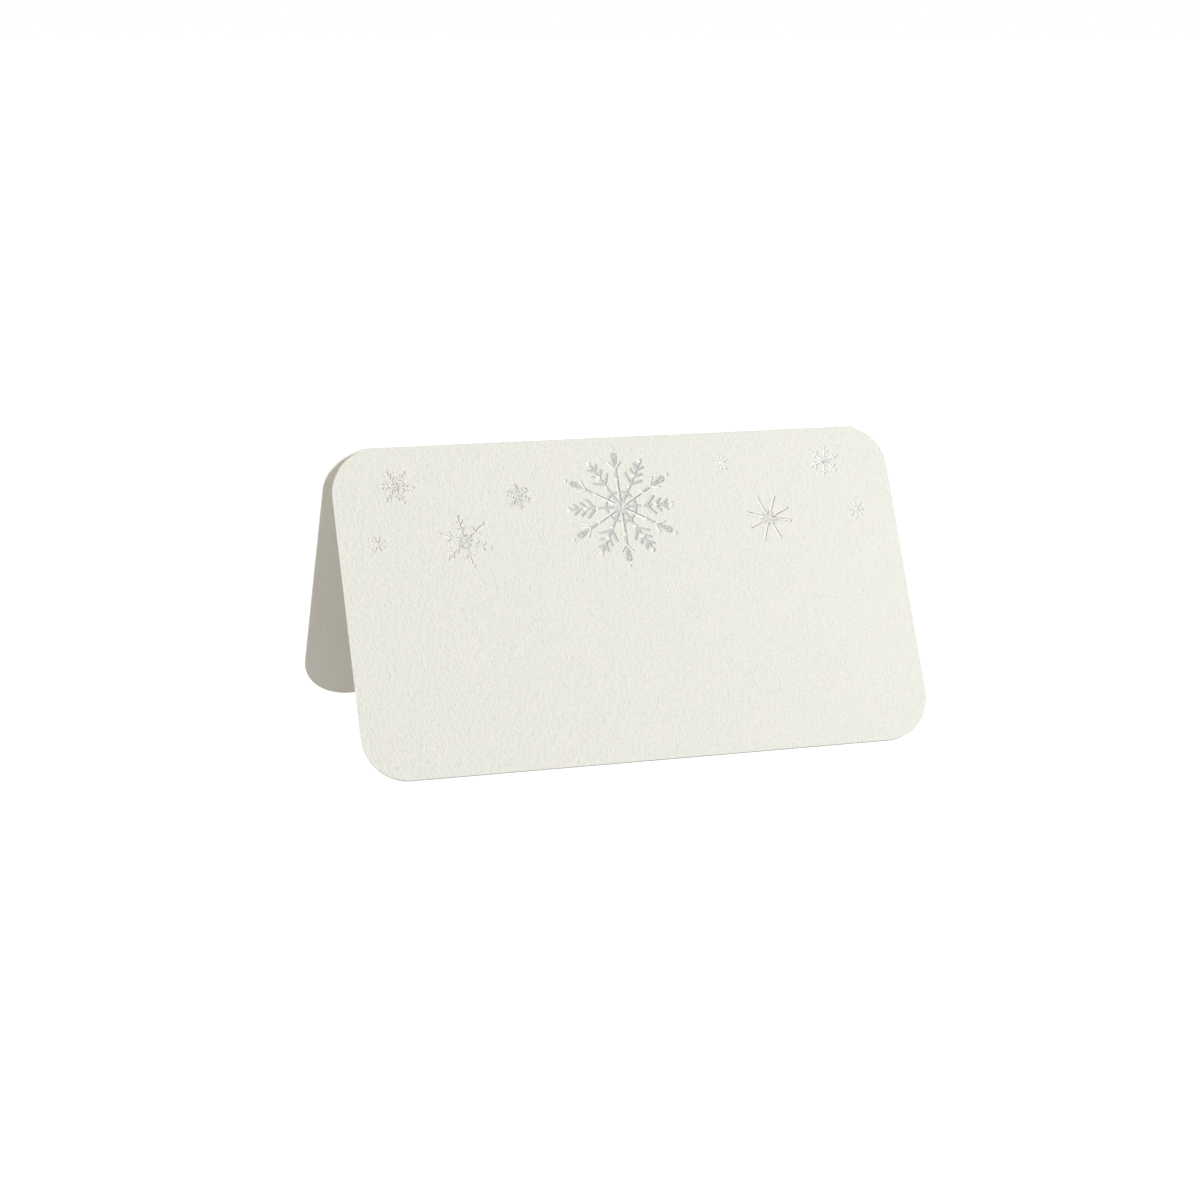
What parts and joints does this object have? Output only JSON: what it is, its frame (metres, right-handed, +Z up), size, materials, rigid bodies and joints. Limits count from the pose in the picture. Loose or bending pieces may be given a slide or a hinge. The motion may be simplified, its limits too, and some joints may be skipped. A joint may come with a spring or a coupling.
{
  "type": "place card",
  "caption": "Folded place card standing as a tent, with rounded corners and a frieze of raised, glittered snowflakes along the fold of its blank front.",
  "frame": {"origin": "on the table, midway between the two feet and midway along the fold", "axes": "+X along the fold, to the right of a reader in front of the printed leaf; +Y to the back leaf; +Z up"},
  "size_m": [0.0888, 0.0498, 0.0446],
  "materials": {
    "card_stock": "uncoated felt-marked cover card, warm ivory",
    "silver_foil": "satin silver foil, embossed",
    "pearl_ink": "raised pearl-white ink with a bright silvery sheen",
    "glitter": "iridescent flecks in clear glue, mostly lavender and silver"
  },
  "bodies": {
    "root": {"card": "card_stock", "silver_foil": "silver_foil", "pearl_relief": "pearl_ink", "glitter": "glitter"}
  },
  "joints": []
}
